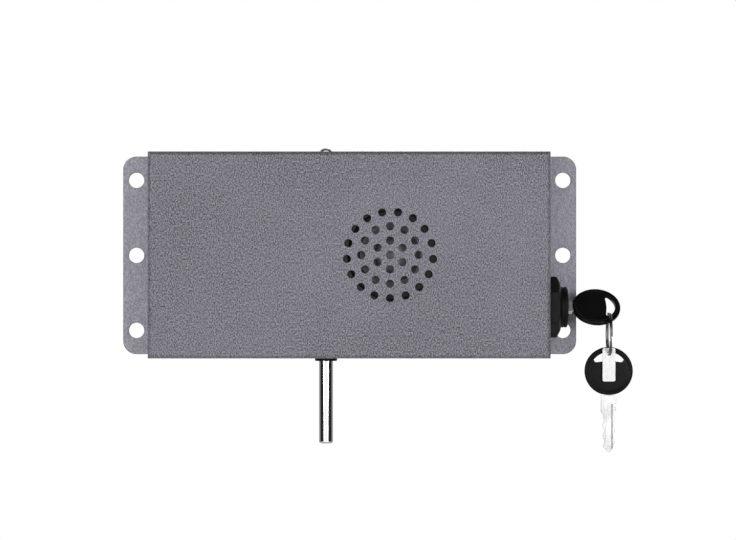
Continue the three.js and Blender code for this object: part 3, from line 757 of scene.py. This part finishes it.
def lock_hex():
    """The hexagon nut, chamfered where it faces out."""
    low, high = NUT_LOW.x / MM, NUT_HIGH.x / MM
    centre = Vector((0, LOCK.y, LOCK.z))
    half = (NUT_HIGH.z - NUT_LOW.z) / 2 / MM
    count = 6
    turns = [2 * math.pi * i / count for i in range(count)]
    corners = [(half * math.sin(turn), half * math.cos(turn)) for turn in turns]
    vertices = [centre + Vector((x, y, z)) * MM for x in (low, high) for y, z in corners]
    faces = [list(range(count)), list(range(2 * count - 1, count - 1, -1))]
    faces += [[k, (k + 1) % count, count + (k + 1) % count, count + k] for k in range(count)]
    nut = mesh_object("lock_hex", vertices, faces)
    behind = [(0, low - 1), (half + 1, low - 1), (half + 1, high - 2.4)]
    crown = [(12.8, high), (12.2, high + 0.2), (0, high + 0.2)]
    envelope = lathe("envelope", "x", centre, behind + crown, 96)
    modifier = nut.modifiers.new("chamfer", "BOOLEAN")
    modifier.operation = "INTERSECT"
    modifier.solver = "EXACT"
    modifier.object = envelope
    apply_modifiers(nut)
    bpy.data.objects.remove(envelope)
    bore = [(0, low - 3), (BARREL_HOLE, low - 3), (BARREL_HOLE, high + 3), (0, high + 3)]
    cut(nut, [lathe("bore", "x", centre, bore, 96)])
    soften(nut, 0.35, 3, 25)
    return finished(nut, "housing", "black_plastic", ["lock_nut"], 30)


def threaded_barrel():
    """The switch's barrel: fine thread past the nut, a stepped front rim, a flange inside."""
    end = BARREL_END / MM
    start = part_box("lock_barrel")[0].x / MM
    wall = COVER_HIGH.x / MM
    bore, flange, flange_back, flange_front = 7, 13.5, 102, wall - 1.8
    profile = [
        (bore, start),
        (BARREL_RADIUS, start),
        (BARREL_RADIUS, flange_back),
        (flange, flange_back),
        (flange, flange_front),
        (10.6, flange_front),
    ]
    pitch = 0.9
    x = wall + 0.5
    while x < end - 4.2:
        profile += [(BARREL_RADIUS, x), (10.5, x + pitch / 2)]
        x += pitch
    profile += [
        (BARREL_RADIUS, x),
        (BARREL_RADIUS, end - 2.3),
        (10.6, end - 2.15),
        (10.6, end - 1.85),
        (BARREL_RADIUS, end - 1.7),
        (BARREL_RADIUS, end - 0.6),
        (10.5, end - 0.1),
        (9.9, end),
        (8.4, end),
        (8.1, end - 0.5),
        (7.3, end - 0.5),
        (bore, end - 0.8),
    ]
    barrel = lathe("threaded_barrel", "x", Vector((0, LOCK.y, LOCK.z)), profile, 96)
    return finished(barrel, "housing", "black_plastic", ["lock_barrel"], 30)


def turned_with_key(obj):
    """Turns a piece made upright about the lock's axis to where the inserted key stands."""
    centre = Vector((0, LOCK.y, LOCK.z))
    turn = Matrix.Translation(centre) @ Matrix.Rotation(KEY_TURN, 4, "X") @ Matrix.Translation(-centre)
    obj.data.transform(turn)
    return obj


def plug_face():
    """The turning plug with its keyway."""
    low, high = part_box("lock_plug")
    start, end = low.x / MM, high.x / MM
    centre = Vector((0, LOCK.y, LOCK.z))
    profile = [
        (0, start),
        (3, start),
        (3, start + 3.7),
        (PLUG_RADIUS, start + 3.7),
        (PLUG_RADIUS, end - 0.4),
        (6.3, end),
        (4.2, end),
        (0, end - 0.1),
    ]
    plug = lathe("plug_face", "x", centre, profile, 72)
    keyway = block(
        "keyway",
        centre + Vector((KEY.x / MM + KEY_TIP - 0.8, -1.35, -4.6)) * MM,
        centre + Vector((130, 1.35, 4.6)) * MM,
    )
    cut(plug, [keyway])
    return finished(turned_with_key(plug), "plug", "black_metal", ["lock_plug"])


# ---------- keys ----------


def key_hole_outline():
    """The slot at the top of a key's head: an arc above, a gently bowed edge below, round tips."""
    upper = arc(0, 0, 10.1, 37, 143, 30)
    tip = upper[-1][0]
    lower = []
    for i in range(1, 24):
        x = tip + (upper[0][0] - tip) * i / 24
        lower.append((x, 5.4 - x * x / 60 + 1.0 * abs(x / tip) ** 8))
    return upper + lower


def key_head_piece(name):
    """A round moulded head: raised rim, groove, slightly domed inner disc with a pressed panel."""
    face = [
        (12.99, 0.0),
        (12.97, 0.5),
        (12.8, 0.92),
        (12.5, 1.24),
        (12.1, 1.45),
        (11.8, 1.5),
        (11.5, 1.44),
        (11.2, 1.28),
        (10.95, 1.12),
        (10.8, 1.06),
        (10.4, 1.06),
        (10.2, 1.12),
        (9.9, 1.2),
        (8.0, 1.24),
        (0, 1.25),
    ]
    profile = [(r, -y) for r, y in reversed(face)] + face[1:]
    head = lathe(name, "y", Vector((0, 0, 0)), profile, 128)
    cut(head, [prism("slot", key_hole_outline(), -3, 3)])
    recess = rounded(17, 2.4, 1.1, 6)
    panel = [(x, z - 1.2) for x, z in recess]
    cut(head, [prism("panel", panel, side - 0.12, side + 0.12) for side in (-1.24, 1.24)])
    pocket = block("pocket", Vector((-3.3, -0.95, -14)) * MM, Vector((3.3, 0.95, -8)) * MM)
    cut(head, [pocket])
    return head


def wavy_edge(side, start, end, steps):
    """The cut edge of a blade, as (x, z) from start down to end."""
    points = []
    for i in range(steps + 1):
        t = i / steps
        z = start + (end - start) * t
        wave = 0.42 * math.sin(2 * math.pi * (t * 3.1 + (0.15 if side < 0 else 0.55)))
        points.append((side * (2.95 - 0.35 * t + wave * min(1, 6 * t)), z))
    return points


def blade_outline():
    tang = [(-3, -8.4), (-3, SHOULDER), (-4.1, -13.3), (-4.15, -13.6), (-4.15, -22.3)]
    tang += [(-3.9, -22.6), (-3.1, -22.9)]
    left = wavy_edge(-1, -23.2, KEY_TIP + 3.1, 40)
    half_tip = [(2.2, 2.2), (1.1, 0.8), (0.5, 0.15)]
    tip = [(-x, KEY_TIP + z) for x, z in half_tip] + [(0, KEY_TIP)]
    tip += [(x, KEY_TIP + z) for x, z in reversed(half_tip)]
    right = list(reversed(wavy_edge(1, -21.6, KEY_TIP + 3.1, 44)))
    tooth = [(3.2, -21.2), (4.0, -20.9), (4.1, -20.2), (3.3, -19.4), (3.0, -18.6), (3.1, -17.5)]
    shoulder = [(3.9, -17.4), (4.15, -17.1), (4.15, -13.6), (4.1, -13.3), (3, SHOULDER), (3, -8.4)]
    return tang + left + tip + right + tooth + shoulder


def slab(name, side, xs, depths, zs):
    """A box on one face of a blade: xs and zs are ranges, depths are distances from its middle."""
    near, far = sorted(side * depth for depth in depths)
    low = Vector((min(xs), near, min(zs))) * MM
    high = Vector((max(xs), far, max(zs))) * MM
    return block(name, low, high)


def key_blade_piece(name):
    """A flat blade with wavy cuts on both edges and one long milled groove on each face."""
    blade = prism(name, blade_outline(), -1, 1)
    soften(blade, 0.2, 3, 30)
    sides = (-1, 1)
    groove, tang = (-45, -17.6), (SHOULDER, -8)
    cut(blade, [slab("groove", side, (-1.3 * side, -2.05 * side), (0.5, 1.5), groove) for side in sides])
    cut(blade, [slab("thin", side, (-5, 5), (0.65, 2), tang) for side in sides])
    return blade


def key_in_lock(obj):
    """Lays a key made upright into the lock, blade towards -X."""
    lay = Matrix.Rotation(math.radians(90), 4, "Y")
    obj.data.transform(lay)
    obj.data.transform(Matrix.Translation(Vector((KEY.x, LOCK.y, LOCK.z))))
    return turned_with_key(obj)


def hanging_key(obj):
    obj.data.transform(Matrix.Translation(SPARE))
    return obj


def keys():
    finished(key_in_lock(key_head_piece("key_bow")), "key", "key_plastic", ["key_head"], 28)
    finished(key_in_lock(key_blade_piece("key_shank")), "key", "key_steel", ["key_blade"], 30)
    finished(hanging_key(key_head_piece("spare_bow")), "spare_key", "key_plastic", ["spare_key_head"], 28)
    spare_blade = hanging_key(key_blade_piece("spare_shank"))
    finished(spare_blade, "spare_key", "key_steel", ["spare_key_blade"], 30)


def split_ring():
    """Two flat turns of spring wire side by side, which change places over a short step."""
    radius, wide, thick = 11, 0.78, 1.45
    turns, per_turn = 2, 96
    offset, start = 0.43, math.radians(200)
    open_ends, step_length = 4, 16
    vertices, faces = [], []
    total = turns * per_turn - open_ends
    corner_cut = 0.22
    w, t = wide / 2, thick / 2
    section = [
        (-w + corner_cut, -t),
        (w - corner_cut, -t),
        (w, -t + corner_cut),
        (w, t - corner_cut),
        (w - corner_cut, t),
        (-w + corner_cut, t),
        (-w, t - corner_cut),
        (-w, -t + corner_cut),
    ]
    count = len(section)
    for i in range(total + 1):
        turn = 2 * math.pi * i / per_turn + start
        step = min(1.0, max(0.0, (i - per_turn + step_length / 2) / step_length))
        side = offset * (2 * step * step * (3 - 2 * step) - 1)
        for across, out in section:
            r = radius + out
            local = Vector((side + across, r * math.cos(turn), r * math.sin(turn)))
            vertices.append(RING + local * MM)
    for i in range(total):
        for k in range(count):
            m = (k + 1) % count
            faces.append([i * count + k, i * count + m, (i + 1) * count + m, (i + 1) * count + k])
    faces.append(list(range(count)))
    faces.append([total * count + k for k in reversed(range(count))])
    ring = mesh_object("split_ring", vertices, faces)
    return finished(ring, "ring", "ring_steel", ["key_ring"], 40)


def blank_tag():
    """The number tag, left blank: round corners, a burr-free hole, softly rounded edges."""
    centre = (TAG_LOW + TAG_HIGH) / 2
    width = (TAG_HIGH.x - TAG_LOW.x) / MM
    height = (TAG_HIGH.z - TAG_LOW.z) / MM
    y = centre.y / MM
    front, back = y - 0.4, y + 0.4
    outline = rounded(width, height, 1.0, 8)
    tag = prism("blank_tag", outline, front, back, Vector((centre.x, 0, centre.z)))
    soften(tag, 0.15, 3, 50)
    hole_z = TAG_HIGH.z - TAG_HOLE["edge"] * MM
    cut(tag, [hole_tool(RING.x, hole_z, TAG_HOLE["radius"], front, back, 0.12)])
    return finished(tag, "tag", "tag_metal", ["number_tag"], 35)


# ---------- inside pieces ----------


def paint_frame():
    """Gives every CAD node that still shows its slot's procedural material."""
    slots = {row["node"]: row["material_slot"] for row in frame["record"]["subparts"]}
    for node, obj in frame["nodes"].items():
        material = SLOT_MATERIALS[slots[node]]
        if not obj.data.materials:
            obj.data.materials.append(material)
        for slot in obj.material_slots:
            slot.material = material


# ---------- studio ----------


def world_light():
    """White to the camera; the object is lit by a white field in front and a dimmer one behind.

    The pairs are (angle from straight in front as a share of a half turn, level).
    """
    world = bpy.data.worlds.new("studio")
    bpy.context.scene.world = world
    world.use_nodes = True
    nodes, links = world.node_tree.nodes, world.node_tree.links
    nodes.clear()
    direction = nodes.new("ShaderNodeTexCoord").outputs["Generated"]
    split = nodes.new("ShaderNodeSeparateXYZ")
    links.new(direction, split.inputs["Vector"])
    frontal = nodes.new("ShaderNodeMath")
    frontal.operation = "ARCCOSINE"
    toward = nodes.new("ShaderNodeMath")
    toward.operation = "MULTIPLY"
    toward.inputs[1].default_value = -1
    links.new(split.outputs["Y"], toward.inputs[0])
    links.new(toward.outputs["Value"], frontal.inputs[0])
    share = nodes.new("ShaderNodeMath")
    share.operation = "DIVIDE"
    share.inputs[1].default_value = math.pi
    links.new(frontal.outputs["Value"], share.inputs[0])
    bands = nodes.new("ShaderNodeValToRGB")
    bands.color_ramp.interpolation = "EASE"
    front = [(0.0, 0.5), (0.045, 0.5), (0.085, 1.0), (0.182, 1.0), (0.215, 0.01)]
    behind = [(0.47, 0.01), (0.54, 0.1), (0.667, 0.24), (0.78, 0.45), (0.88, 0.8), (1.0, 0.8)]
    set_stops(bands.color_ramp, [(position, (level,) * 3) for position, level in front + behind])
    links.new(share.outputs["Value"], bands.inputs["Fac"])
    light = nodes.new("ShaderNodeBackground")
    light.inputs["Strength"].default_value = 1.6
    links.new(bands.outputs["Color"], light.inputs["Color"])
    backdrop = nodes.new("ShaderNodeBackground")
    backdrop.inputs["Color"].default_value = (1, 1, 1, 1)
    backdrop.inputs["Strength"].default_value = 1.0
    mix = nodes.new("ShaderNodeMixShader")
    links.new(nodes.new("ShaderNodeLightPath").outputs["Is Camera Ray"], mix.inputs["Fac"])
    links.new(light.outputs["Background"], mix.inputs[1])
    links.new(backdrop.outputs["Background"], mix.inputs[2])
    links.new(mix.outputs["Shader"], nodes.new("ShaderNodeOutputWorld").inputs["Surface"])


def soft_lamp(name, place, aim, size, power):
    data = bpy.data.lights.new(name, "AREA")
    data.shape = "DISK"
    data.size = size
    data.energy = power
    lamp = bpy.data.objects.new(name, data)
    lamp.location = place
    lamp.rotation_euler = (Vector(aim) - Vector(place)).to_track_quat("-Z", "Y").to_euler()
    bpy.context.scene.collection.objects.link(lamp)


def floor():
    radius, top, edge = 900, -300, 4
    rim = [(radius, top - edge), (radius + edge, top - edge / 2), (radius, top)]
    disc = lathe("floor", "z", Vector((0, 0.1, 0)), [(0, top - edge)] + rim + [(0, top)], 96)
    for polygon in disc.data.polygons:
        polygon.use_smooth = True
    disc.data.set_sharp_from_angle(angle=math.radians(40))
    disc.data.materials.append(pale_floor())


def camera():
    """Straight in front of the housing, a little over a metre away."""
    data = bpy.data.cameras.new("camera")
    data.sensor_width = 36
    data.lens = 115.3
    data.clip_end = 20
    view = bpy.data.objects.new("camera", data)
    view.location = (0.010, COVER_LOW.y - 1.25, -0.008)
    view.rotation_euler = (math.radians(90), 0, 0)
    bpy.context.scene.collection.objects.link(view)
    bpy.context.scene.camera = view


def studio():
    bpy.context.scene.view_settings.view_transform = "Standard"
    world_light()
    soft_lamp("left_lamp", (-0.46, -0.72, 0.03), (-0.1, 0, 0), 0.3, 1.9)
    soft_lamp("right_lamp", (0.46, -0.72, 0.03), (0.1, 0, 0), 0.3, 1.5)
    soft_lamp("back_lamp", (0.3, 1.4, 0.5), (0, 0, 0), 0.8, 5)
    floor()
    camera()


studio()
paint_frame()
cover_skin()
plate_skin()
sunk_screws()
dome_screw()
bolt_bar()
bush_collar()
siren_diaphragm()
siren_roll()
lock_hex()
threaded_barrel()
plug_face()
keys()
split_ring()
blank_tag()
